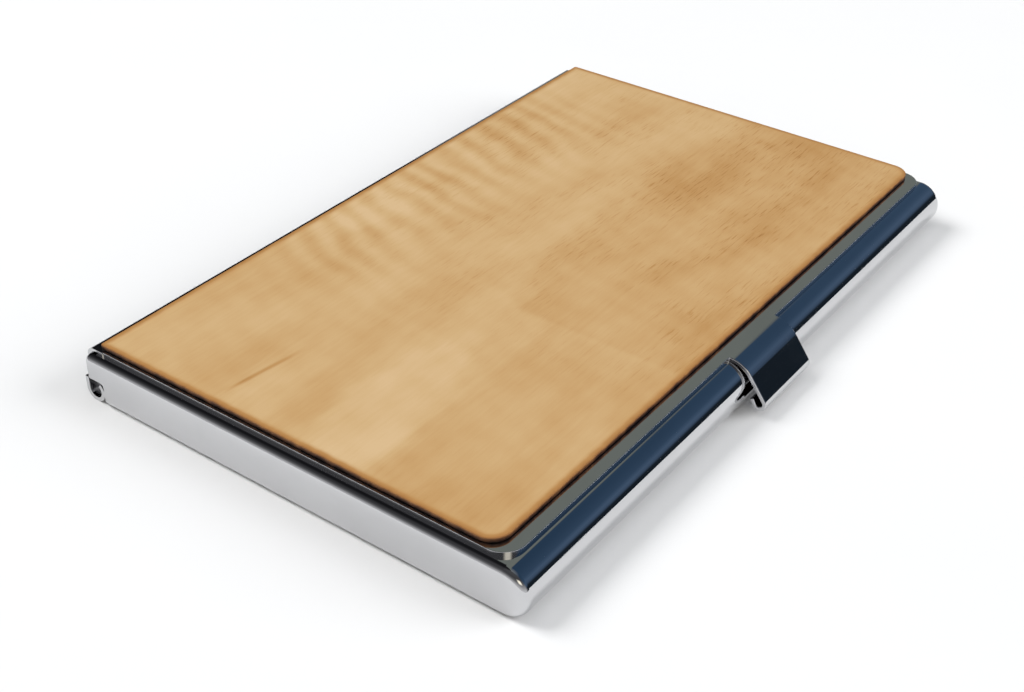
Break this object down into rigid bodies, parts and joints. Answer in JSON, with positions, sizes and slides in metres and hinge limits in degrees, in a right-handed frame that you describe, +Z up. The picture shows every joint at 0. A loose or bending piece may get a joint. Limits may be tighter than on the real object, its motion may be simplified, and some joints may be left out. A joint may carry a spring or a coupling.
{
  "type": "business card case",
  "caption": "Slim polished metal card case with a back-hinged lid, a snap tab over a half-round front, and a thin maple panel on the lid.",
  "frame": {"origin": "under the middle of the closed case, on the surface it rests on", "axes": "+X along the case's length, -Y towards the clasp tab, +Y towards the hinge, +Z up out of the lid"},
  "size_m": [0.0928, 0.0616, 0.0069],
  "materials": {
    "polished_steel": "mirror polished",
    "pin_steel": "drawn wire",
    "adhesive": "clear film",
    "maple": "satin, with darkened cut edges"
  },
  "bodies": {
    "case": {"case_frame": "polished_steel", "floor_plate": "polished_steel", "hinge_pin": "pin_steel"},
    "lid": {"lid_plate": "polished_steel", "adhesive_film": "adhesive", "maple_panel": "maple"}
  },
  "joints": [
    {"name": "lid_hinge", "type": "hinge", "parent": "case", "child": "lid", "pos_m": [0, 0.0294, 0.0014], "axis": [-1, 0, 0], "range_deg": [0, 90]}
  ]
}
